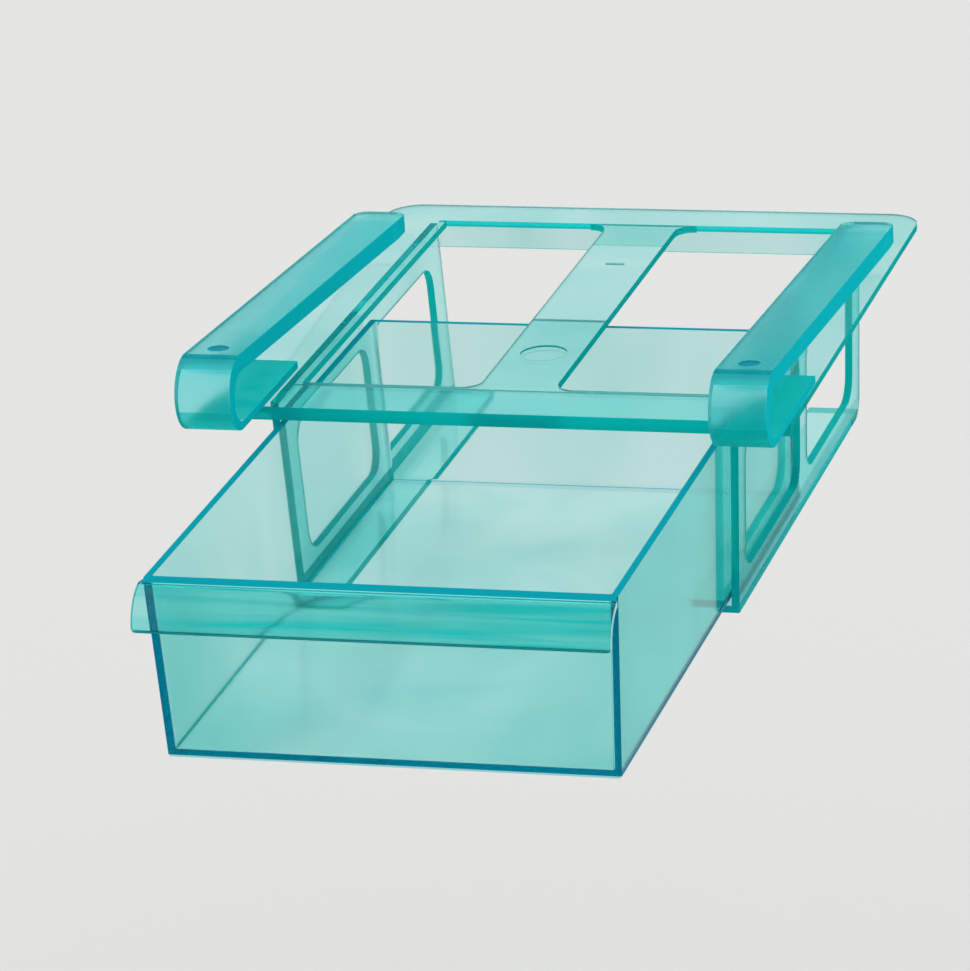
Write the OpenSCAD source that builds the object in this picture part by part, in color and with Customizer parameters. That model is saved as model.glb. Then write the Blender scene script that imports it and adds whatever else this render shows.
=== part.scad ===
// Under-shelf slide-out drawer organizer: a carrier frame hung from the front edge of a fridge
// shelf by two long C-shaped clips, and an open box drawer that slides on the carrier's runners.
// Frame: X across, +Y to the back of the fridge, +Z up. Origin: middle of the front of the side
// walls, level with the top of the clip jaws, where the front edge of the shelf rests.

/* [Drawer] */
// Outer width of the drawer at its rim
drawer_w = 180; // [140:1:220]
// Outer length of the drawer at its rim
drawer_l = 296; // [250:1:340]
// Outer height of the drawer
drawer_h = 72; // [50:1:100]
// Thickness of the drawer's walls and floor
drawer_wall = 2.8; // [2:0.1:3.5]
// How far each side wall leans in from the rim to the floor
side_lean = 3; // [1:0.5:5]
// How far the front and rear walls lean in from the rim to the floor
end_lean = 1.5; // [0.5:0.5:3]
// Outer radius of the curled handle lip
lip_r = 15.5; // [12:0.5:20]
// Thickness of the handle lip
lip_t = 2.4; // [1.8:0.1:3]
// How far the drawer is pulled out in the rest pose
pulled_out = 111; // [0:1:130]

/* [Carrier frame] */
// Length of the hanging side walls
carrier_l = 232; // [200:1:270]
// Thickness of the top plate
plate_t = 3; // [2.4:0.1:4]
// Thickness of the side walls
wall_t = 3.2; // [2.4:0.1:4]
// Width of the plate's flange outside each side wall, and of each clip
flange_w = 22.5; // [18:0.5:28]
// Height of the front rail, from the plate's top
rail_h = 5.4; // [5:0.1:7]
// Width of the rib between the two plate windows
rib_w = 31; // [20:1:45]
// Distance of the runners' inner edges from the middle of the carrier
runner_in = 70; // [40:1:75]

/* [Shelf clips] */
// Thickness of the clip arms
arm_t = 7.2; // [5:0.1:9]
// Thickness of the lower jaws
jaw_t = 3.3; // [2.8:0.1:5]
// Height of the slot that takes the front edge of the shelf
slot_h = 19.7; // [14:0.1:26]
// Height of the arm tips above the jaws' top
tip_gap = 3.9; // [2:0.1:8]
// Y of the arm tips
arm_end = 200; // [170:1:225]

/* [Hidden] */

teal = [0.30, 0.76, 0.77, 0.75];
deep_teal = [0.10, 0.66, 0.70, 0.85];
pale_teal = [0.45, 0.82, 0.81, 0.7];
$fn = 64;
// Reach of a cutting body past the face it cuts
cut = 2;

// Levels
plate_top = -jaw_t;
plate_bottom = plate_top - plate_t;
// Gap between the front rail's edge and the drawer's rim
rail_gap = 2.1;
rim_z = plate_top - rail_h - rail_gap;
base_z = rim_z - drawer_h;
// Gap between the drawer's floor and the runners
run_gap = 0.3;
runner_t = 3;
runner_top = base_z - run_gap;
wall_bottom = runner_top - runner_t;

// Side walls run parallel to the drawer's sides, this far outside them
side_gap = 1.5;
lean = side_lean / drawer_h;
function wall_in(z) = drawer_w / 2 + side_gap + (z - rim_z) * lean;
wall_top_x = wall_in(plate_top) + wall_t;
wall_low_x = wall_in(wall_bottom) + wall_t;
plate_half_w = wall_top_x + flange_w;

// Plate outline: the front rail is thick between the side walls, and turned down under the flanges
rail_front = -8;
rail_t = 3;
rail_end = wall_in(plate_top) + wall_t / 2;
front_bar_end = 22;
stop_y = carrier_l + 1.5;
stop_t = 2.5;
stop_h = 12;
plate_back = carrier_l + 24;
plate_corner_r = 14;
window_side_margin = 3.6;
plate_window_r = 8;

// Side wall windows
front_post = 12.5;
mid_post = 13.5;
rear_post = 15;
mid_post_y = 0.512 * carrier_l;
window_top = plate_top - 14.6;
window_low = wall_bottom + 13;
wall_window_r = 10;
wall_corner_r = 8;

// Gate recesses of the mouldings
rib_gate_r = 9.5;
rib_gate_y = 65;
clip_gate_r = 4.2;
gate_depth = 0.7;
stop_mark_y = 183;
stop_mark_l = 8;

// Pegs that hold each clip on the flange, through holes in it
peg_r = 2.4;
peg_hole_r = 2.5;
peg_head_r = 3.8;
peg_head_t = 1.4;
peg_ys = [12, 28];
jaw_end = 38;
clip_x = wall_top_x + flange_w / 2;

// Clip profile
clip_outer_r = (jaw_t + slot_h + arm_t) / 2;
bend_y = -33;
bend_z = slot_h + arm_t;
slot_y = bend_y + 1.3;
pad_l = 14;
arm_corner_r = 6;

// Drawer faces at the rim
drawer_front = stop_y - 0.5 - drawer_l - pulled_out;
drawer_back = drawer_front + drawer_l;
edge_chamfer = 1.2;
lip_corner_r = 3;

// Turns a profile drawn in (y, z) into a solid along X, between x0 and x1
module along_x(x0, x1)
  translate([x0, 0, 0])
    rotate([90, 0, 90])
      linear_extrude(x1 - x0)
        children();

// Turns a profile drawn in (x, z) into a solid along Y, between y0 and y1
module along_y(y0, y1)
  translate([0, y1, 0])
    rotate([90, 0, 0])
      linear_extrude(y1 - y0)
        children();

// Turns a profile drawn in (x, y) into a solid along Z, between z0 and z1
module along_z(z0, z1)
  translate([0, 0, z0])
    linear_extrude(z1 - z0)
      children();

// Rectangle from a to b with its corners rounded
module rounded_box(a, b, r) {
  translate([a.x + r, a.y])
    square([b.x - a.x - 2 * r, b.y - a.y]);
  translate([a.x, a.y + r])
    square([b.x - a.x, b.y - a.y - 2 * r]);
  for (x = [a.x + r, b.x - r], y = [a.y + r, b.y - r])
    translate([x, y])
      circle(r);
}

module both_sides() {
  children();
  mirror([1, 0, 0])
    children();
}

// One side wall with its inward runner, in (x, z)
module wall_profile()
  polygon([
    [wall_top_x, plate_top],
    [wall_low_x, wall_bottom],
    [runner_in, wall_bottom],
    [runner_in, runner_top],
    [wall_in(runner_top), runner_top],
    [wall_in(plate_top), plate_top]
  ]);

// Side view of a wall: its lower rear corner is rounded
module wall_outline() {
  translate([0, wall_bottom + wall_corner_r])
    square([carrier_l, plate_top - wall_bottom - wall_corner_r]);
  translate([0, wall_bottom])
    square([carrier_l - wall_corner_r, wall_corner_r + cut]);
  translate([carrier_l - wall_corner_r, wall_bottom + wall_corner_r])
    circle(wall_corner_r);
}

module wall_windows() {
  front_end = mid_post_y - mid_post / 2;
  rear_start = mid_post_y + mid_post / 2;
  rounded_box([front_post, window_low], [front_end, window_top], wall_window_r);
  rounded_box([rear_start, window_low], [carrier_l - rear_post, window_top], wall_window_r);
}

// Top view of the plate: square at the front, rounded at the rear corners
module plate_outline() {
  translate([-plate_half_w, rail_front])
    square([2 * plate_half_w, plate_back - plate_corner_r - rail_front]);
  rounded_box([-plate_half_w, rail_front], [plate_half_w, plate_back], plate_corner_r);
}

// One plate window, right of the rib: only its corners at the rib are rounded
module plate_window() {
  window_out = wall_in(plate_top) - window_side_margin;
  rounded_box([rib_w / 2, front_bar_end], [window_out, stop_y], plate_window_r);
  translate([rib_w / 2 + plate_window_r, front_bar_end])
    square([window_out - rib_w / 2 - plate_window_r, stop_y - front_bar_end]);
}

// Carrier frame: top plate with two windows, side walls, runners, front rail and rear stop
module carrier_frame() {
  color(teal)
    difference() {
      union() {
        along_z(plate_bottom, plate_top)
          plate_outline();
        both_sides()
          difference() {
            intersection() {
              along_y(0, carrier_l)
                wall_profile();
              along_x(0, plate_half_w)
                wall_outline();
            }
            along_x(runner_in + cut, plate_half_w)
              wall_windows();
          }
        translate([-plate_half_w, rail_front, plate_top - rail_h])
          cube([2 * plate_half_w, rail_t, rail_h]);
        translate([-rail_end, rail_front, plate_top - rail_h])
          cube([2 * rail_end, front_bar_end - rail_front, rail_h]);
        translate([-wall_in(plate_top), stop_y, plate_top - stop_h])
          cube([2 * wall_in(plate_top), stop_t, stop_h]);
        translate([-stop_mark_l / 2, stop_mark_y, plate_bottom - gate_depth])
          cube([stop_mark_l, 1, gate_depth + 1]);
      }
      both_sides()
        along_z(plate_bottom - cut, plate_top + cut)
          plate_window();
      both_sides()
        for (y = peg_ys)
          translate([clip_x, y, plate_bottom - cut])
            cylinder(r = peg_hole_r, h = plate_t + 2 * cut);
      translate([0, rib_gate_y, plate_top - gate_depth])
        cylinder(r = rib_gate_r, h = gate_depth + cut);
    }
}

// Side view of a clip: flat arm, round front, slot and lower jaw, in (y, z)
module clip_profile() {
  difference() {
    union() {
      translate([bend_y, clip_outer_r - jaw_t])
        circle(clip_outer_r);
      polygon([
        [bend_y, bend_z],
        [arm_end, tip_gap + arm_t],
        [arm_end, tip_gap],
        [arm_end - pad_l, tip_gap],
        [slot_y, slot_h],
        [bend_y, slot_h]
      ]);
      translate([bend_y, -jaw_t])
        square([jaw_end - bend_y, jaw_t]);
    }
    translate([slot_y, slot_h / 2])
      circle(slot_h / 2);
    polygon([
      [slot_y, 0],
      [arm_end - pad_l, 0],
      [arm_end - pad_l, tip_gap],
      [slot_y, slot_h]
    ]);
  }
}

// Top view of a clip, centred on X: the arm's rear corners are rounded
module clip_plan() {
  translate([-flange_w / 2, bend_y - clip_outer_r - cut])
    square([flange_w, arm_end - arm_corner_r - bend_y + clip_outer_r + cut]);
  rounded_box([-flange_w / 2, 0], [flange_w / 2, arm_end], arm_corner_r);
}

// A clip at the middle of its own width: profile, gate recess and two headed pegs
module shelf_clip() {
  gate_y = bend_y + 9;
  gate_z = bend_z - (gate_y - bend_y) * (slot_h - tip_gap) / (arm_end - bend_y);
  difference() {
    intersection() {
      along_x(-flange_w / 2, flange_w / 2)
        clip_profile();
      along_z(-jaw_t - cut, bend_z + cut)
        clip_plan();
    }
    translate([0, gate_y, gate_z - gate_depth])
      cylinder(r = clip_gate_r, h = gate_depth + cut);
  }
  for (y = peg_ys)
    translate([0, y, 0]) {
      translate([0, 0, plate_bottom])
        cylinder(r = peg_r, h = plate_t + jaw_t / 2);
      translate([0, 0, plate_bottom - peg_head_t])
        cylinder(r = peg_head_r, h = peg_head_t);
    }
}

module left_shelf_clip() {
  color(deep_teal)
    translate([-clip_x, 0, 0])
      shelf_clip();
}

module right_shelf_clip() {
  color(deep_teal)
    translate([clip_x, 0, 0])
      shelf_clip();
}

// Leaning box outline, with its lower corners chamfered: half width at the top, lean, levels
module leaning_outline(mid, half_top, lean_in, z0, z1, chamfer) {
  half_low = half_top - lean_in;
  polygon([
    [mid - half_top, z1],
    [mid - half_low, z0 + chamfer],
    [mid - half_low + chamfer, z0],
    [mid + half_low - chamfer, z0],
    [mid + half_low, z0 + chamfer],
    [mid + half_top, z1]
  ]);
}

// Solid that leans in on all four sides, inset from the drawer's outer faces
module leaning_box(inset, z0, z1, chamfer) {
  mid_y = (drawer_front + drawer_back) / 2;
  height = z1 - z0;
  top_up = (z1 - rim_z) / drawer_h;
  half_x = drawer_w / 2 - inset + side_lean * top_up;
  half_y = drawer_l / 2 - inset + end_lean * top_up;
  intersection() {
    along_y(drawer_front - cut, drawer_back + cut)
      leaning_outline(0, half_x, side_lean * height / drawer_h, z0, z1, chamfer);
    along_x(-drawer_w / 2 - cut, drawer_w / 2 + cut)
      leaning_outline(mid_y, half_y, end_lean * height / drawer_h, z0, z1, chamfer);
  }
}

// Handle lip: quarter ring that curls forward and down from the rim, in (y, z)
module lip_profile() {
  intersection() {
    translate([drawer_front, rim_z - lip_r])
      difference() {
        circle(lip_r);
        circle(lip_r - lip_t);
      }
    translate([drawer_front - lip_r, rim_z - lip_r])
      square([lip_r, lip_r]);
  }
  translate([drawer_front, rim_z - lip_t])
    square([drawer_wall / 2, lip_t]);
}

// Front view of the lip: its lower corners are rounded
module lip_outline() {
  translate([-drawer_w / 2, rim_z - lip_r + lip_corner_r])
    square([drawer_w, lip_r - lip_corner_r]);
  rounded_box([-drawer_w / 2, rim_z - lip_r], [drawer_w / 2, rim_z], lip_corner_r);
}

// Drawer: open box with leaning walls and a curled handle lip
module drawer() {
  color(pale_teal) {
    difference() {
      leaning_box(0, base_z, rim_z, edge_chamfer);
      leaning_box(drawer_wall, base_z + drawer_wall, rim_z + cut, edge_chamfer / 2);
    }
    intersection() {
      along_x(-drawer_w / 2, drawer_w / 2)
        lip_profile();
      along_y(drawer_front - lip_r - cut, drawer_front + drawer_wall)
        lip_outline();
    }
  }
}

carrier_frame();
left_shelf_clip();
right_shelf_clip();
drawer();
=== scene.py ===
import math

import bmesh
import bpy
from mathutils import Matrix, Vector


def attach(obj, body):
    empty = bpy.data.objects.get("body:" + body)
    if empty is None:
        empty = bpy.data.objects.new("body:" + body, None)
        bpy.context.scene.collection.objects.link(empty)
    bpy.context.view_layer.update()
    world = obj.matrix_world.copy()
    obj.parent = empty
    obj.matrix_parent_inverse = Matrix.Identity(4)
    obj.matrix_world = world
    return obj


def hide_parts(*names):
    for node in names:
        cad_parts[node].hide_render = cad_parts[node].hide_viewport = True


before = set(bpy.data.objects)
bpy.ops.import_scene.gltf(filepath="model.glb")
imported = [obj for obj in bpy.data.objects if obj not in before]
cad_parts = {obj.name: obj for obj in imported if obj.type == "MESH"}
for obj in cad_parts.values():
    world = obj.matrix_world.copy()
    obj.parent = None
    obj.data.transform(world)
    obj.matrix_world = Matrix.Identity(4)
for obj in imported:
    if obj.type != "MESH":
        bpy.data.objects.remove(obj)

D = bpy.data
scene = bpy.context.scene
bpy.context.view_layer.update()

# ---------------------------------------------------------------------------
# Camera: a long lens a little above the shelf, standing to the right of the
# drawer and rolled slightly, as the product photograph was taken.
# ---------------------------------------------------------------------------
CAMERA_SPOT = (0.56782, -1.92262, 0.69922)
CAMERA_TURN = (69.83238, 3.65609, 15.35196)
LENS_MM, FILM_MM = 201.647, 36

lens = D.cameras.new("studio_camera")
lens.sensor_fit = "HORIZONTAL"
lens.sensor_width = FILM_MM
lens.lens = LENS_MM
lens.clip_end = 100
camera = D.objects.new("studio_camera", lens)
scene.collection.objects.link(camera)
camera.location = CAMERA_SPOT
camera.rotation_euler = [math.radians(a) for a in CAMERA_TURN]
scene.camera = camera

# ---------------------------------------------------------------------------
# Studio: a plain pale floor that runs on behind as the backdrop, far enough
# below the hung organizer for its shadow to be soft, and an even white light.
# ---------------------------------------------------------------------------
FLOOR_MIDDLE, FLOOR_HALF = (0, 1, -0.42), 7
FLOOR_COLOUR = (0.78, 0.78, 0.765, 1)
# Light that has gone into the clear plastic may run far inside it before it comes out
LIGHT_BOUNCES = 48

bm = bmesh.new()
bmesh.ops.create_grid(bm, x_segments=1, y_segments=1, size=FLOOR_HALF)
bmesh.ops.translate(bm, vec=FLOOR_MIDDLE, verts=bm.verts)
floor_mesh = D.meshes.new("studio_floor")
bm.to_mesh(floor_mesh)
bm.free()
floor = D.objects.new("studio_floor", floor_mesh)
scene.collection.objects.link(floor)
paper = D.materials.new("pale_paper")
paper.use_nodes = True
dull = paper.node_tree.nodes["Principled BSDF"]
dull.inputs["Base Color"].default_value = FLOOR_COLOUR
dull.inputs["Roughness"].default_value = 0.9
dull.inputs["Specular IOR Level"].default_value = 0.1
floor_mesh.materials.append(paper)

scene.view_settings.view_transform = "Standard"
scene.world = D.worlds.new("white_tent")
scene.world.use_nodes = True
tent = scene.world.node_tree.nodes["Background"]
tent.inputs["Color"].default_value = (1, 1, 1, 1)
tent.inputs["Strength"].default_value = 1.0
scene.cycles.max_bounces = LIGHT_BOUNCES
scene.cycles.transmission_bounces = LIGHT_BOUNCES
scene.cycles.glossy_bounces = LIGHT_BOUNCES

# ---------------------------------------------------------------------------
# Carrier frame: one injection moulding in clear teal styrene. A flat plate
# with two windows carries two hanging side walls with inward runners, a thick
# front rail and a turned-down strip at the rear that stops the drawer.
# ---------------------------------------------------------------------------
# Lengths are in millimetres, as in the solids, until a piece is finished
PER_METRE = 1000.0
PLATE_TOP, PLATE_T, PLATE_HALF = -3.3, 3.0, 117.51
PLATE_FRONT, PLATE_BACK, PLATE_CORNER_R = -8.0, 256.0, 14.0
RAIL_H, RAIL_BACK, TURNED_EDGE_T = 5.4, 22.0, 3.0
BELOW_RAIL = PLATE_TOP - 8.0
WALL_L, WALL_T, WALL_LOW = 232.0, 3.2, -86.1
# Half the clear width between the walls at one height, and the height in which they lean out by 1
CLEAR_HALF, CLEAR_Z, LEAN_HEIGHT = 91.5, -10.8, 24
REAR_END_R, REAR_CUT_HALF = 8.0, 130.0
RUNNER_TOP, RUNNER_IN = -83.1, 70.0
STOP_Y, STOP_T, STOP_H = 233.5, 2.5, 12.0
RIB_HALF, WINDOW_MARGIN, WINDOW_R = 15.5, 3.6, 8.0
SIDE_WINDOWS = ((12.5, 112.03), (125.53, 217.0))
SIDE_WINDOW_LOW, SIDE_WINDOW_TOP, SIDE_WINDOW_R = -73.1, -17.9, 10.0
# The side windows are cut from clear of the wall's inside to clear of its outside
SIDE_CUT_IN, SIDE_CUT_OUT = 72.0, 120.0
CLIP_X, PEG_PLACES, PEG_HOLE_R = 106.26, (12, 28), 2.5
RIB_GATE_Y, RIB_GATE_R, GATE_DEEP, GATE_STEPS = 65.0, 9.5, 0.7, 48
MARK_FRONT, MARK_BACK, MARK_HALF, MARK_H = 182.5, 183.5, 4.0, 0.7
# How far a cut reaches past the face that it opens, and how far an added bar goes into its carrier
PAST, SUNK = 2.0, 1.0
EDGE_ROUND = 0.35
# Points closer than the first of these are one, and a point closer than the second lies on a line or plane
ONE_POINT, ON_LINE = 1e-3, 1e-4
# A face whose direction has more than SQUARE of an axis looks straight along it, with more than FACING of it
# looks that way, and with more than ASLANT leans that way. Places within NEAR of each other are level.
SQUARE, FACING, ASLANT, NEAR = 0.98, 0.9, 0.1, 0.1


def wall_in(z):
    """Half the clear width between the leaning side walls at height z."""
    return CLEAR_HALF + (z - CLEAR_Z) / LEAN_HEIGHT


def pressed_out(outline, axis, start, end):
    """A straight length of one cross-section: its outline is drawn as a face and extruded."""
    place = {"x": lambda a, b, s: (s, a, b),
             "y": lambda a, b, s: (a, s, b),
             "z": lambda a, b, s: (a, b, s)}[axis]
    bm = bmesh.new()
    face = bm.faces.new([bm.verts.new(place(a, b, start)) for a, b in outline])
    drawn = bmesh.ops.extrude_face_region(bm, geom=[face])
    pulled = [v for v in drawn["geom"] if isinstance(v, bmesh.types.BMVert)]
    bmesh.ops.translate(bm, verts=pulled, vec=Vector(place(0, 0, end)) - Vector(place(0, 0, start)))
    bmesh.ops.recalc_face_normals(bm, faces=bm.faces)
    return bm


def rounded(bm, chosen, radius, steps=8):
    """Rounds the chosen straight edges of a blank."""
    edges = [e for e in bm.edges if chosen(e.verts[0].co, e.verts[1].co)]
    bmesh.ops.bevel(bm, geom=edges, offset=radius, offset_type="OFFSET", segments=steps,
                    profile=0.5, affect="EDGES", material=-1)
    return bm


def block(low, high):
    """A plain block between two opposite corners, as a start for a cut or a bar."""
    bm = bmesh.new()
    bmesh.ops.create_cube(bm, size=1)
    middle = (Vector(low) + Vector(high)) / 2
    size = [abs(v) for v in Vector(high) - Vector(low)]
    bmesh.ops.transform(bm, verts=bm.verts,
                        matrix=Matrix.Translation(middle) @ Matrix.Diagonal(size).to_4x4())
    return bm


def round_bar(x, y, low, high, radius, steps=32):
    """An upright round bar, for a hole, a recess or a peg."""
    bm = bmesh.new()
    bmesh.ops.create_cone(bm, cap_ends=True, segments=steps, radius1=radius, radius2=radius, depth=high - low)
    bmesh.ops.translate(bm, verts=bm.verts, vec=(x, y, (low + high) / 2))
    return bm


def as_mesh(*blanks):
    """The blanks as one mesh."""
    mesh = D.meshes.new("blank")
    whole = bmesh.new()
    for bm in blanks:
        bm.to_mesh(mesh)
        whole.from_mesh(mesh)
        bm.free()
    whole.to_mesh(mesh)
    whole.free()
    return mesh


def joined(mesh, other, how):
    """The mesh with the other one added to it or cut out of it, in one skin."""
    body = D.objects.new("body", mesh)
    tool = D.objects.new("tool", other)
    for thing in (body, tool):
        scene.collection.objects.link(thing)
    step = body.modifiers.new("step", "BOOLEAN")
    step.operation = how
    step.solver = "EXACT"
    step.object = tool
    made = D.meshes.new_from_object(body.evaluated_get(bpy.context.evaluated_depsgraph_get()))
    for thing in (body, tool):
        D.objects.remove(thing)
    D.meshes.remove(mesh)
    D.meshes.remove(other)
    return made


def seam_at(bm, z):
    """A level line cut into the faces at height z, so that the strips above and below it can differ."""
    bmesh.ops.bisect_plane(bm, geom=bm.verts[:] + bm.edges[:] + bm.faces[:], plane_co=(0, 0, z),
                           plane_no=(0, 0, 1), dist=ON_LINE)


def is_upright(a, b):
    """Whether an edge between two points stands upright."""
    return abs(a.x - b.x) < ONE_POINT and abs(a.y - b.y) < ONE_POINT


def is_across(a, b):
    """Whether an edge between two points runs from left to right."""
    return abs(a.y - b.y) < ONE_POINT and abs(a.z - b.z) < ONE_POINT


plate_under = PLATE_TOP - PLATE_T
plate = pressed_out(
    [(-PLATE_HALF, PLATE_FRONT), (PLATE_HALF, PLATE_FRONT),
     (PLATE_HALF, PLATE_BACK), (-PLATE_HALF, PLATE_BACK)], "z", plate_under, PLATE_TOP)
rounded(plate, lambda a, b: is_upright(a, b) and a.y > PLATE_BACK - 1, PLATE_CORNER_R)
rail_half = wall_in(PLATE_TOP) + WALL_T / 2
frame_mesh = as_mesh(plate)
added = [  # The stop mark, the turned-down front edge, the rail and the rear strip, then the two walls
    block((-MARK_HALF, MARK_FRONT, plate_under - MARK_H), (MARK_HALF, MARK_BACK, plate_under + SUNK)),
    block((-PLATE_HALF, PLATE_FRONT, PLATE_TOP - RAIL_H),
          (PLATE_HALF, PLATE_FRONT + TURNED_EDGE_T, PLATE_TOP)),
    block((-rail_half, PLATE_FRONT, PLATE_TOP - RAIL_H), (rail_half, RAIL_BACK, PLATE_TOP)),
    block((-wall_in(PLATE_TOP), STOP_Y, PLATE_TOP - STOP_H),
          (wall_in(PLATE_TOP), STOP_Y + STOP_T, PLATE_TOP)),
]
for side in (-1, 1):
    wall = ((wall_in(PLATE_TOP) + WALL_T, PLATE_TOP), (wall_in(WALL_LOW) + WALL_T, WALL_LOW),
            (RUNNER_IN, WALL_LOW), (RUNNER_IN, RUNNER_TOP),
            (wall_in(RUNNER_TOP), RUNNER_TOP), (wall_in(PLATE_TOP), PLATE_TOP))
    added.append(pressed_out([(side * x, z) for x, z in wall], "y", 0, WALL_L))
for blank in added:
    frame_mesh = joined(frame_mesh, as_mesh(blank), "UNION")

# The cuts: plate windows, side wall windows, peg holes and the gate's recess on the rib
cuts = []
for side in (-1, 1):
    window = block((side * RIB_HALF, RAIL_BACK, plate_under - PAST),
                   (side * (wall_in(PLATE_TOP) - WINDOW_MARGIN), STOP_Y, PLATE_TOP + PAST))
    cuts.append(rounded(window, lambda a, b: is_upright(a, b) and abs(a.x) < RIB_HALF + 1, WINDOW_R))
    for front, back in SIDE_WINDOWS:
        opening = block((side * SIDE_CUT_IN, front, SIDE_WINDOW_LOW),
                        (side * SIDE_CUT_OUT, back, SIDE_WINDOW_TOP))
        cuts.append(rounded(opening, is_across, SIDE_WINDOW_R))
    for y in PEG_PLACES:
        cuts.append(round_bar(side * CLIP_X, y, BELOW_RAIL, PLATE_TOP + PAST, PEG_HOLE_R))
cuts.append(round_bar(0, RIB_GATE_Y, PLATE_TOP - GATE_DEEP, PLATE_TOP + PAST, RIB_GATE_R, GATE_STEPS))
frame_mesh = joined(frame_mesh, as_mesh(*cuts), "DIFFERENCE")
# The walls' lower rear corners are rounded: a square bar less a round one is what is cut away
square_bar = block((-REAR_CUT_HALF, WALL_L - REAR_END_R, WALL_LOW - PAST),
                   (REAR_CUT_HALF, WALL_L + PAST, WALL_LOW + REAR_END_R))
end_curve = bmesh.new()
bmesh.ops.create_cone(end_curve, cap_ends=True, segments=64, radius1=REAR_END_R, radius2=REAR_END_R,
                      depth=2 * REAR_CUT_HALF + PAST)
bmesh.ops.rotate(end_curve, verts=end_curve.verts, matrix=Matrix.Rotation(math.pi / 2, 3, "Y"))
bmesh.ops.translate(end_curve, verts=end_curve.verts, vec=(0, WALL_L - REAR_END_R, WALL_LOW + REAR_END_R))
corner = joined(as_mesh(square_bar), as_mesh(end_curve), "DIFFERENCE")
frame_mesh = joined(frame_mesh, corner, "DIFFERENCE")


def flow_marks_and_painted_streaks():
    """Waves and deeper streaks that cooling plastic leaves in a wall, and an uneven polish. Where the streaks
    are strong and drawn out, as on the drawer's lip, they are painted light and shade from the fillet seen
    through the lip.
    """
    group = D.node_groups.new("flow_marks_and_painted_streaks", "ShaderNodeTree")
    group.interface.new_socket("Streaks Per Millimetre", in_out="INPUT", socket_type="NodeSocketVector")
    for name, start in (("Wave Depth", 0.1), ("Polish", 0.02), ("Wear", 0.03)):
        group.interface.new_socket(name, in_out="INPUT", socket_type="NodeSocketFloat").default_value = start
    group.interface.new_socket("Streaks", in_out="OUTPUT", socket_type="NodeSocketFloat")
    group.interface.new_socket("Roughness", in_out="OUTPUT", socket_type="NodeSocketFloat")
    group.interface.new_socket("Normal", in_out="OUTPUT", socket_type="NodeSocketVector")
    nodes, links = group.nodes, group.links
    source, sink = nodes.new("NodeGroupInput"), nodes.new("NodeGroupOutput")
    spot = nodes.new("ShaderNodeTexCoord")
    in_mm, drawn = nodes.new("ShaderNodeVectorMath"), nodes.new("ShaderNodeVectorMath")
    in_mm.operation, drawn.operation = "SCALE", "MULTIPLY"
    in_mm.inputs["Scale"].default_value = PER_METRE
    links.new(spot.outputs["Object"], in_mm.inputs[0])
    links.new(in_mm.outputs[0], drawn.inputs[0])
    links.new(source.outputs["Streaks Per Millimetre"], drawn.inputs[1])
    waves = nodes.new("ShaderNodeTexNoise")
    waves.inputs["Scale"].default_value = 2.0
    waves.inputs["Detail"].default_value = 1.0
    bump = nodes.new("ShaderNodeBump")
    bump.inputs["Distance"].default_value = 0.0002
    links.new(drawn.outputs[0], waves.inputs["Vector"])
    links.new(source.outputs["Wave Depth"], bump.inputs["Strength"])
    links.new(waves.outputs["Fac"], bump.inputs["Height"])
    flow = nodes.new("ShaderNodeTexNoise")
    flow.inputs["Scale"].default_value = 1.0
    flow.inputs["Detail"].default_value = 2.0
    flow.inputs["Distortion"].default_value = 0.6
    spread = nodes.new("ShaderNodeMapRange")
    spread.inputs["From Min"].default_value = 0.36
    spread.inputs["From Max"].default_value = 0.66
    links.new(drawn.outputs[0], flow.inputs["Vector"])
    links.new(flow.outputs["Fac"], spread.inputs["Value"])
    haze = nodes.new("ShaderNodeTexNoise")
    haze.inputs["Scale"].default_value = 190.0
    haze.inputs["Detail"].default_value = 3.0
    worn = nodes.new("ShaderNodeMath")
    worn.operation = "MULTIPLY_ADD"
    links.new(spot.outputs["Object"], haze.inputs["Vector"])
    links.new(haze.outputs["Fac"], worn.inputs[0])
    links.new(source.outputs["Wear"], worn.inputs[1])
    links.new(source.outputs["Polish"], worn.inputs[2])
    links.new(spread.outputs[0], sink.inputs["Streaks"])
    links.new(worn.outputs[0], sink.inputs["Roughness"])
    links.new(bump.outputs["Normal"], sink.inputs["Normal"])
    return group


GLOSS_LEFT_OUT = 0.92


def skin(pale, deep, polish=0.02, painted_share=0.0, painted_light=(0, 0, 0), streaks=(0.013, 0.013, 0.007),
         left_out=GLOSS_LEFT_OUT, veil=(1, 1, 1)):
    """One finish. Streaks run from the pale to the deep tint. A share of it is a diffuse colour of painted
    light and shade, which stands in for the glow, highlights and dark lines that light makes in the clear
    plastic. A share of its outer gloss is left out, and its veil is one more tint that acts only from
    outside."""
    return pale, deep, polish, painted_share, painted_light, streaks, left_out, veil


FLOW_AND_PAINTED_STREAKS = flow_marks_and_painted_streaks()
STYRENE_IOR = 1.57
# Colour that the plastic takes from light on each metre of its way inside
TAKEN_DEEP = (85.0, 4.2, 2.9)
PALE_TEAL, DEEP_TEAL = (0.93, 0.965, 0.95), (0.56, 0.83, 0.81)
BROAD_SKIN = skin(PALE_TEAL, DEEP_TEAL)
FRAME_FINISHES_AND_PAINTED_LIGHT = {
    "broad": BROAD_SKIN,
    # The cut edges' diffuse deep teal is painted: it stands in for light that runs along inside the frame
    "cut": skin((0.01, 0.58, 0.53), (0.005, 0.46, 0.43), 0.4, 0.55, (0.001, 0.52, 0.50)),
    "guide": skin((0.70, 0.94, 0.92), (0.40, 0.82, 0.80), left_out=0.5),
    # The foot's diffuse share and its veil from outside paint the walls' lower inner strip a deep teal, in
    # place of light guided in the plastic
    "foot": skin(PALE_TEAL, DEEP_TEAL, 0.2, 0.5, (0.001, 0.55, 0.54), left_out=0.5, veil=(0.01, 0.62, 0.60)),
}


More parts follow.
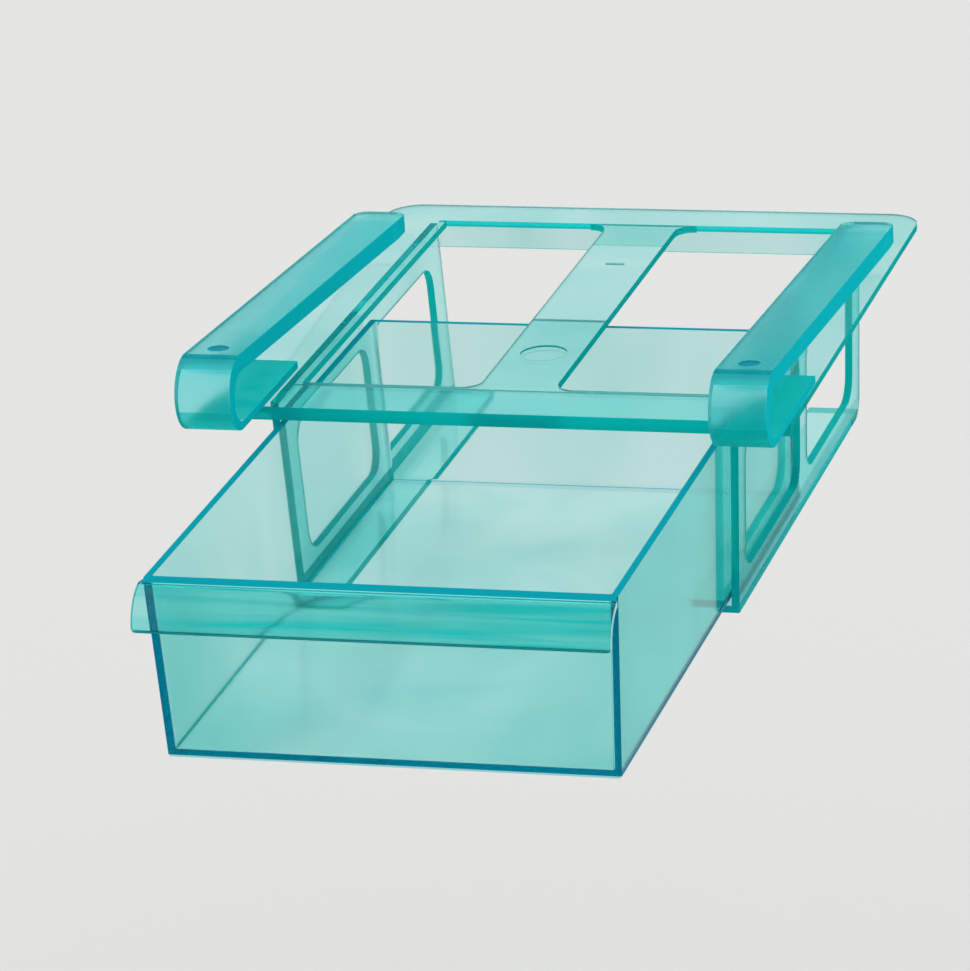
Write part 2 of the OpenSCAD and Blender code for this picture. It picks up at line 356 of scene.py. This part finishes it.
def stepped(nodes, links, picked, values):
    """A ramp without blends, which gives each finish its own one of the values."""
    ramp = nodes.new("ShaderNodeValToRGB")
    ramp.color_ramp.interpolation = "CONSTANT"
    steps = ramp.color_ramp.elements
    # A new step goes in before the last one, and all of them then take their places in order
    while len(steps) < len(values):
        steps.new(0.999)
    for i, value in enumerate(values):
        steps[i].position = i / len(values)
        steps[i].color = (*value, 1) if isinstance(value, tuple) else (value, value, value, 1)
    links.new(picked, ramp.inputs["Fac"])
    return ramp.outputs["Color"]


def clear_teal(name, finishes_and_painted_light, wear=0.03):
    """Clear teal styrene that picks each face's finish, with its painted light and shade, by its mark. A
    share of the outer gloss is left out, as by a polarising filter, and seen from outside a diffuse share
    paints light and shade."""
    material = D.materials.new(name)
    material.use_nodes = True
    nodes, links = material.node_tree.nodes, material.node_tree.links
    gloss, out = nodes["Principled BSDF"], nodes["Material Output"]
    gloss.inputs["Metallic"].default_value = 0
    gloss.inputs["Transmission Weight"].default_value = 1
    gloss.inputs["IOR"].default_value = STYRENE_IOR
    through = nodes.new("ShaderNodeBsdfRefraction")
    through.inputs["IOR"].default_value = STYRENE_IOR
    kind = nodes.new("ShaderNodeAttribute")
    kind.attribute_name = "finish"
    pale, deep, polish, painted_share, painted_light_colour, streaks, gloss_off, veil = [
        stepped(nodes, links, kind.outputs["Fac"], values) for values in zip(*finishes_and_painted_light.values())]
    flow = nodes.new("ShaderNodeGroup")
    flow.node_tree = FLOW_AND_PAINTED_STREAKS
    flow.inputs["Wear"].default_value = wear
    links.new(streaks, flow.inputs["Streaks Per Millimetre"])
    links.new(polish, flow.inputs["Polish"])
    tint, middle = nodes.new("ShaderNodeMix"), nodes.new("ShaderNodeMix")
    for mix in (tint, middle):
        mix.data_type = "RGBA"
        links.new(pale, mix.inputs["A"])
        links.new(deep, mix.inputs["B"])
    links.new(flow.outputs["Streaks"], tint.inputs["Factor"])
    side, outside = nodes.new("ShaderNodeNewGeometry"), nodes.new("ShaderNodeMath")
    outside.operation = "SUBTRACT"
    outside.inputs[0].default_value = 1
    links.new(side.outputs["Backfacing"], outside.inputs[1])
    veiled = []
    for mix in (tint, middle):
        over = nodes.new("ShaderNodeMix")
        over.data_type, over.blend_type = "RGBA", "MULTIPLY"
        links.new(outside.outputs[0], over.inputs["Factor"])
        links.new(mix.outputs["Result"], over.inputs["A"])
        links.new(veil, over.inputs["B"])
        veiled.append(over.outputs["Result"])
    links.new(veiled[0], gloss.inputs["Base Color"])
    # The gloss shader lets half of its tint act where light goes in, and half where it goes out
    half = nodes.new("ShaderNodeGamma")
    half.inputs["Gamma"].default_value = 0.5
    links.new(veiled[1], half.inputs["Color"])
    links.new(half.outputs["Color"], through.inputs["Color"])
    for shader in (gloss, through):
        links.new(flow.outputs["Roughness"], shader.inputs["Roughness"])
        links.new(flow.outputs["Normal"], shader.inputs["Normal"])
    left_out, cover = nodes.new("ShaderNodeMath"), nodes.new("ShaderNodeMath")
    left_out.operation = cover.operation = "MULTIPLY"
    links.new(gloss_off, left_out.inputs[1])
    links.new(outside.outputs[0], left_out.inputs[0])
    links.new(outside.outputs[0], cover.inputs[0])
    links.new(painted_share, cover.inputs[1])
    painted_light = nodes.new("ShaderNodeBsdfDiffuse")
    links.new(painted_light_colour, painted_light.inputs["Color"])
    clear, whole = nodes.new("ShaderNodeMixShader"), nodes.new("ShaderNodeMixShader")
    links.new(left_out.outputs[0], clear.inputs["Fac"])
    links.new(gloss.outputs[0], clear.inputs[1])
    links.new(through.outputs[0], clear.inputs[2])
    links.new(cover.outputs[0], whole.inputs["Fac"])
    links.new(clear.outputs[0], whole.inputs[1])
    links.new(painted_light.outputs[0], whole.inputs[2])
    links.new(whole.outputs[0], out.inputs["Surface"])
    strongest = max(TAKEN_DEEP)
    taken = nodes.new("ShaderNodeVolumeAbsorption")
    taken.inputs["Color"].default_value = (*[1 - a / strongest for a in TAKEN_DEEP], 1)
    taken.inputs["Density"].default_value = strongest
    links.new(taken.outputs[0], out.inputs["Volume"])
    return material


def finished(name, mesh, material, finishes_and_painted_light, kind_of, body, node, seam):
    """The piece in metres, each face marked with its kind of finish and painted light, riding on its body in
    place of its node. A seam is cut at that height unless it is None."""
    kinds = list(finishes_and_painted_light)
    bm = bmesh.new()
    bm.from_mesh(mesh)
    bmesh.ops.remove_doubles(bm, verts=bm.verts, dist=ONE_POINT)
    bmesh.ops.dissolve_degenerate(bm, dist=ON_LINE, edges=bm.edges)
    bmesh.ops.dissolve_limit(bm, angle_limit=math.radians(0.5), use_dissolve_boundaries=False,
                             verts=bm.verts, edges=bm.edges)
    if seam is not None:
        seam_at(bm, seam)
    bm.normal_update()
    # The mark picks each face's finish together with its painted light and shade
    mark = bm.faces.layers.float.new("finish")
    for face in bm.faces:
        face.smooth = True
        face[mark] = (kinds.index(kind_of(face)) + 0.5) / len(kinds)
    bmesh.ops.scale(bm, verts=bm.verts, vec=(1 / PER_METRE, 1 / PER_METRE, 1 / PER_METRE))
    bm.to_mesh(mesh)
    bm.free()
    mesh.name = name
    mesh.materials.append(material)
    piece = D.objects.new(name, mesh)
    scene.collection.objects.link(piece)
    rounding = piece.modifiers.new("edge_round", "BEVEL")
    rounding.width = EDGE_ROUND / PER_METRE
    rounding.segments = 2
    rounding.limit_method = "ANGLE"
    rounding.angle_limit = math.radians(30)
    flat = piece.modifiers.new("flat_faces", "WEIGHTED_NORMAL")
    flat.keep_sharp = True
    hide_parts(node)
    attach(piece, body)


FOOT_TOP = -77.0
# Upright faces no higher than this are narrow edges. The seam leaves low strips at the walls' foot, so there
# the limit is lower.
EDGE_HIGH, FOOT_EDGE_HIGH = 8, 5


def frame_face(face):
    """Inside, the walls and the runners' tops are guides for the drawer, with a strip at the foot painted a
    deep teal that stands in for light guided in the plastic. All other broad faces are clear, and the narrow
    cut edges are painted a deep teal because light runs along inside."""
    across, along, up = face.normal
    middle = face.calc_center_median()
    heights = [v.co.z for v in face.verts]
    tall = max(heights) - min(heights) > (FOOT_EDGE_HIGH if max(heights) < FOOT_TOP + NEAR else EDGE_HIGH)
    if abs(across) > SQUARE and tall:
        if across * middle.x > 0 or middle.z > BELOW_RAIL:
            return "broad"
        return "foot" if RUNNER_TOP < middle.z < FOOT_TOP else "guide"
    if up > SQUARE and abs(middle.z - RUNNER_TOP) < NEAR:
        return "guide"
    if abs(up) > SQUARE and (middle.z > PLATE_TOP - RAIL_H - NEAR or middle.z < RUNNER_TOP):
        return "broad"
    return "broad" if abs(along) > SQUARE and middle.y > STOP_Y - 1 and tall else "cut"


carrier_teal = clear_teal("carrier_teal", FRAME_FINISHES_AND_PAINTED_LIGHT)
finished("carrier_frame_moulding", frame_mesh, carrier_teal, FRAME_FINISHES_AND_PAINTED_LIGHT, frame_face,
         "carrier", "carrier_frame", seam=FOOT_TOP)

# ---------------------------------------------------------------------------
# Shelf clips: two like mouldings in the same styrene. Each is a flat C with a
# thick round front, a long sloping arm that rests on the shelf and a short
# jaw, held on the plate's flange by two headed pegs.
# ---------------------------------------------------------------------------
CLIP_HALF = 11.25
JAW_T, ARM_T, SLOT_H = 3.3, 7.2, 19.7
BEND_Y, SLOT_Y = -33.0, -31.7
OUTER_R = (JAW_T + SLOT_H + ARM_T) / 2
BEND_STEPS = 96
JAW_END, ARM_END, PAD_L, TIP_GAP = 38.0, 200.0, 14.0, 3.9
ARM_CORNER_R = 6.0
# The jaw lies on the flange with this much air under it
SEAT_GAP = 0.06
PEG_R, PEG_LOW, PEG_HIGH = 2.4, -6.7, -2.0
PEG_HEAD_R, HEAD_LOW, HEAD_HIGH = 3.8, -7.7, -6.3 - SEAT_GAP
CLIP_GATE_BACK, CLIP_GATE_R, CLIP_GATE_CUT = 9.0, 4.2, 3.0
# The gate's recess is the only upward face at its place that is smaller than this
CLIP_GATE_AREA = 60
CLIP_FINISHES_AND_PAINTED_LIGHT = {
    "arm": skin((0.98, 0.99, 0.985), (0.80, 0.94, 0.94), 0.22, streaks=(0.06, 0.008, 0.06)),
    # The sides' and ends' diffuse deep teal is painted: it stands in for light that runs along inside the
    # clip
    "cut": skin((0.01, 0.58, 0.60), (0.005, 0.46, 0.50), 0.4, 0.8, (0.002, 0.52, 0.59)),
    # The round front's tint, deeper than the arm's, is painted shade
    "front": skin((0.46, 0.86, 0.86), (0.22, 0.76, 0.77), 0.15, streaks=(0.06, 0.06, 0.06)),
    # The jaw's upper face lies in the clip's shade; its diffuse teal paints light onto it
    "jaw": skin((0.80, 0.93, 0.93), (0.56, 0.86, 0.86), 0.3, 0.9, (0.003, 0.56, 0.53)),
    # Where the round front turns up to the arm, its diffuse dark blue is painted shade
    "shoulder": skin((0.05, 0.60, 0.66), (0.03, 0.52, 0.58), 0.2, 0.45, (0.002, 0.36, 0.44)),
    # The gate's recess is painted a dark diffuse blue, as shade in the recess
    "gate": skin((0.10, 0.60, 0.70), (0.06, 0.50, 0.60), 0.1, 0.6, (0.002, 0.24, 0.36)),
    # The neck's and the chin's diffuse teal are painted shade too, along the upper turn and over the lower
    # part of the front
    "neck": skin((0.20, 0.76, 0.78), (0.12, 0.70, 0.72), 0.4, 0.6, (0.03, 0.45, 0.47)),
    "chin": skin((0.06, 0.82, 0.79), (0.01, 0.72, 0.69), 0.2, 0.4, (0.002, 0.45, 0.42)),
}
# The round front's painted shades change where it turns upwards by these shares, and at this height
NECK_UP, SHOULDER_UP, CHIN_Z = 0.8, 0.96, 7.5


def bend(centre_y, centre_z, radius):
    """The front half of a circle in the clip's side view, from its top to its bottom."""
    bm = bmesh.new()
    bmesh.ops.create_circle(bm, segments=BEND_STEPS, radius=radius)
    bmesh.ops.rotate(bm, verts=bm.verts, matrix=Matrix.Rotation(math.pi / 2, 3, "Y"))
    bmesh.ops.translate(bm, verts=bm.verts, vec=(0, centre_y, centre_z))
    front = {(round(v.co.y, 5), round(v.co.z, 5)) for v in bm.verts if v.co.y < centre_y + ON_LINE}
    # The small addition keeps the two ends from falling on the wrong side
    points = sorted(front, key=lambda p: math.atan2(p[1] - centre_z, centre_y - p[0] + 1e-6), reverse=True)
    bm.free()
    return points


def shelf_clip(middle):
    """One clip with its two pegs, its middle at that x."""
    side_view = (bend(BEND_Y, OUTER_R - JAW_T, OUTER_R)
                 + [(JAW_END, -JAW_T), (JAW_END, 0)]
                 + bend(SLOT_Y, SLOT_H / 2, SLOT_H / 2)[::-1]
                 + [(ARM_END - PAD_L, TIP_GAP), (ARM_END, TIP_GAP), (ARM_END, TIP_GAP + ARM_T)])
    side_view = [(y, max(z, -JAW_T + SEAT_GAP)) for y, z in side_view]
    clip = pressed_out(side_view, "x", middle - CLIP_HALF, middle + CLIP_HALF)
    rounded(clip, lambda a, b: is_upright(a, b) and a.y > ARM_END - 1, ARM_CORNER_R)
    mesh = as_mesh(clip)
    gate_z = SLOT_H + ARM_T - CLIP_GATE_BACK * (SLOT_H - TIP_GAP) / (ARM_END - BEND_Y)
    gate = round_bar(middle, BEND_Y + CLIP_GATE_BACK, gate_z - GATE_DEEP, gate_z + CLIP_GATE_CUT, CLIP_GATE_R,
                     GATE_STEPS)
    mesh = joined(mesh, as_mesh(gate), "DIFFERENCE")
    for y in PEG_PLACES:
        peg = joined(as_mesh(round_bar(middle, y, PEG_LOW, PEG_HIGH, PEG_R)),
                     as_mesh(round_bar(middle, y, HEAD_LOW, HEAD_HIGH, PEG_HEAD_R)), "UNION")
        mesh = joined(mesh, peg, "UNION")
    return mesh


def clip_face(face):
    """Sides, ends and the jaw's upper face are partly diffuse and painted: deep teal on the sides and ends
    for light that runs along inside, and a lit teal on the jaw, which lies in the slot's shade. The round
    front is painted deeper than the arm as shade, most so where it turns upwards and at its foot, and the
    gate's recess is painted dark as shade."""
    across, along, up = face.normal
    middle = face.calc_center_median()
    if abs(across) > FACING or abs(along) > SQUARE and middle.y > 0:
        return "cut"
    if up > SQUARE and abs(middle.z) < NEAR:
        return "jaw"
    if up > SQUARE and abs(middle.y - BEND_Y - CLIP_GATE_BACK) < 1 and face.calc_area() < CLIP_GATE_AREA:
        return "gate"
    if middle.y > BEND_Y or along > 0:
        return "arm"
    if middle.z > SLOT_H and up > NECK_UP:
        return "shoulder" if up > SHOULDER_UP else "neck"
    return "chin" if middle.z < CHIN_Z else "front"


clip_teal = clear_teal("clip_teal", CLIP_FINISHES_AND_PAINTED_LIGHT, wear=0.05)
for side, hand in ((-1, "left"), (1, "right")):
    finished(hand + "_clip_moulding", shelf_clip(side * CLIP_X), clip_teal, CLIP_FINISHES_AND_PAINTED_LIGHT, clip_face,
             "carrier", hand + "_shelf_clip", seam=None)

# ---------------------------------------------------------------------------
# Drawer: one deep open box moulded in the same styrene, its walls leaning out
# towards the rim so that it leaves the mould. The front wall's top curls
# forward and down into a handle lip.
# ---------------------------------------------------------------------------
RIM_Z, BASE_Z = -10.8, -82.8
DRAWER_FRONT, DRAWER_BACK = -174.0, 122.0
DRAWER_HALF = 90.0
SIDE_LEAN, END_LEAN = 3.0, 1.5
DRAWER_WALL = 2.8
LIP_R, LIP_T, LIP_CORNER_R, LIP_FILLET_R = 15.5, 2.4, 1.6, 2.2
# The lip curls through these angles in this many steps: one wide step that leaves room for the fillet under
# it, and fine ones for its rounded corners
LIP_CURL = ((12.0, 1), (63.0, 12), (15.0, 8))
CORNER_R, INNER_CORNER_R = 1.2, 0.8
# The foot of the sides has its own finish, a painted dark blue band, up to just under the level of the
# floor's upper face
FOOT_SEAM = BASE_Z + DRAWER_WALL - 0.05
# The lip's lower edge, painted as a dark line, reaches up this far. The rim's painted glow reaches this far
# down and this far forward, where its faces turn upwards by this share.
LIP_EDGE, RIM_EDGE, RIM_FRONT, RIM_UP = 0.6, 0.3, 3.3, 0.96
DRAWER_FINISHES_AND_PAINTED_LIGHT = {
    "broad": BROAD_SKIN,
    # The lip's lower edge is painted a dark diffuse line, as the shade that its rounding shows
    "lip_edge": skin((0.002, 0.10, 0.11), (0.002, 0.08, 0.09), 0.3, 0.7, (0.004, 0.30, 0.32)),
    # The lip's strong streaks along it are painted light and shade, for the fillet under it seen through the
    # curl
    "lip": skin((0.74, 0.94, 0.92), (0.001, 0.74, 0.73), 0.04, streaks=(0.007, 0.19, 0.19)),
    # The rim's diffuse deep teal is a painted glow, for light that runs up inside the walls
    "rim": skin((0.01, 0.58, 0.60), (0.005, 0.46, 0.50), 0.3, 0.9, (0.003, 0.36, 0.45)),
    # The lip's ends are painted a pale diffuse colour, as their highlight
    "lip_end": skin((0.80, 0.93, 0.93), (0.56, 0.86, 0.86), 0.1, 0.8, (0.55, 0.86, 0.87)),
    # The front lower edge is painted a pale diffuse colour, as the highlight along its rounding
    "sole": skin((0.03, 0.64, 0.62), (0.02, 0.56, 0.54), 0.3, 0.8, (0.42, 0.83, 0.86)),
    # The inner lower corners are painted a diffuse teal line, as the shade in the crease
    "inner_corner": skin((0.30, 0.80, 0.80), (0.20, 0.70, 0.70), 0.2, 0.85, (0.005, 0.62, 0.58)),
    # The upright outer corners are painted a dark navy, as the dark band that light guided in the walls shows
    "outer_corner": skin((0.30, 0.80, 0.80), (0.20, 0.70, 0.70), 0.2, 0.85, (0.002, 0.18, 0.285)),
    # From outside, the veil paints the outer sides a deeper teal, as their shade
    "outer_side": skin(PALE_TEAL, DEEP_TEAL, left_out=0.3, veil=(0.06, 0.72, 0.69)),
    # The sides' foot and the back lower edge are painted a dark blue band, for light guided through the floor
    "side_sole": skin((0.01, 0.50, 0.80), (0.005, 0.44, 0.74), 0.3, 0.8, (0.06, 0.30, 0.40)),
}


def outer_half(z):
    """Half the drawer's width at height z, on the outside."""
    return DRAWER_HALF - SIDE_LEAN * (RIM_Z - z) / (RIM_Z - BASE_Z)


def tub(inset, low):
    """The four leaning walls and the floor of a box, open at the rim."""
    bm = block((-DRAWER_HALF + inset, DRAWER_FRONT + inset, low),
               (DRAWER_HALF - inset, DRAWER_BACK - inset, RIM_Z))
    down = (RIM_Z - low) / (RIM_Z - BASE_Z)
    middle = (DRAWER_FRONT + DRAWER_BACK) / 2
    for v in bm.verts:
        if v.co.z < RIM_Z - 1:
            v.co.x -= math.copysign(SIDE_LEAN * down, v.co.x)
            v.co.y -= math.copysign(END_LEAN * down, v.co.y - middle)
    bm.normal_update()
    bmesh.ops.delete(bm, geom=[f for f in bm.faces if f.normal.z > SQUARE], context="FACES_ONLY")
    return bm


outside = tub(0, BASE_Z)
inside = tub(DRAWER_WALL, BASE_Z + DRAWER_WALL)
rounded(outside, lambda a, b: min(a.z, b.z) < BASE_Z + NEAR, CORNER_R, steps=6)
rounded(inside, lambda a, b: min(a.z, b.z) < RIM_Z - 1, INNER_CORNER_R, steps=4)
bmesh.ops.reverse_faces(inside, faces=inside.faces)
drawer_mesh = as_mesh(outside, inside)
bm = bmesh.new()
bm.from_mesh(drawer_mesh)
bmesh.ops.bridge_loops(bm, edges=[e for e in bm.edges if e.is_boundary])
seam_at(bm, RIM_Z - LIP_T)
bmesh.ops.recalc_face_normals(bm, faces=bm.faces)
strip = [f for f in bm.faces if f.normal.y < -FACING and f.calc_center_median().z > RIM_Z - LIP_T
         and f.calc_center_median().y < DRAWER_FRONT + 1]
for angle, steps in LIP_CURL:
    # The strip with each of its edges and corners once, in a fixed order
    edges = list(dict.fromkeys(e for f in strip for e in f.edges))
    corners = list(dict.fromkeys(v for f in strip for v in f.verts))
    swept = bmesh.ops.spin(bm, geom=strip + edges + corners, cent=(0, DRAWER_FRONT, RIM_Z - LIP_R),
                           axis=(1, 0, 0), dvec=(0, 0, 0), angle=math.radians(angle), steps=steps,
                           use_duplicate=False)
    strip = [f for f in swept["geom_last"] if isinstance(f, bmesh.types.BMFace)]
# The lip is widened to the drawer's full width, and its lower corners are then drawn in to a quarter circle
for v in bm.verts:
    if v.co.y < DRAWER_FRONT - 1:
        v.co.x *= DRAWER_HALF / (DRAWER_HALF - CORNER_R)
        turn = math.atan2(DRAWER_FRONT - v.co.y, v.co.z - RIM_Z + LIP_R)
        into_corner = LIP_CORNER_R - (math.pi / 2 - turn) * LIP_R
        if into_corner > 0:
            kept = math.sqrt(max(LIP_CORNER_R ** 2 - into_corner ** 2, 0))
            v.co.x -= math.copysign(LIP_CORNER_R - kept, v.co.x)
under_lip = [e for e in bm.edges if all(abs(v.co.z - RIM_Z + LIP_T) < NEAR
                                        and abs(v.co.y - DRAWER_FRONT) < NEAR for v in e.verts)]
bmesh.ops.bevel(bm, geom=under_lip, offset=LIP_FILLET_R, offset_type="OFFSET", segments=5, profile=0.5,
                affect="EDGES", material=-1)
bmesh.ops.recalc_face_normals(bm, faces=bm.faces)
bm.to_mesh(drawer_mesh)
bm.free()


def drawer_face(face):
    """The rim, the lip's ends, the corners and the rounded lower edges are partly diffuse and painted: a glow
    on the rim, highlights on the lip's ends and the front lower edge, dark lines on the lip's lower edge, the
    corners and the sides' foot. The outer sides have a gloss of their own and a veil that paints their shade,
    the lip has painted streaks, and the rest is clear."""
    across, along, up = face.normal
    middle = face.calc_center_median()
    if up > RIM_UP and middle.z > RIM_Z - RIM_EDGE and middle.y > DRAWER_FRONT - RIM_FRONT:
        return "rim"
    if middle.y < DRAWER_FRONT - NEAR:
        if abs(across) > FACING:
            return "lip_end"
        return "lip_edge" if middle.z < RIM_Z - LIP_R + LIP_EDGE else "lip"
    if middle.z < BASE_Z + CORNER_R and -SQUARE < up < -ASLANT:
        return "sole" if abs(along) > ASLANT and middle.y < 0 else "side_sole"
    if abs(across) > ASLANT and middle.z < BASE_Z + DRAWER_WALL + INNER_CORNER_R and ASLANT < up < SQUARE:
        return "inner_corner"
    if abs(across) > SQUARE and across * middle.x > 0:
        return "side_sole" if middle.z < FOOT_SEAM else "outer_side"
    between = abs(across) > ASLANT and abs(along) > ASLANT
    return "outer_corner" if between and abs(middle.x) > outer_half(middle.z) - CORNER_R else "broad"


drawer_teal = clear_teal("drawer_teal", DRAWER_FINISHES_AND_PAINTED_LIGHT, wear=0.06)
finished("drawer_moulding", drawer_mesh, drawer_teal, DRAWER_FINISHES_AND_PAINTED_LIGHT, drawer_face,
         "drawer", "drawer", seam=FOOT_SEAM)
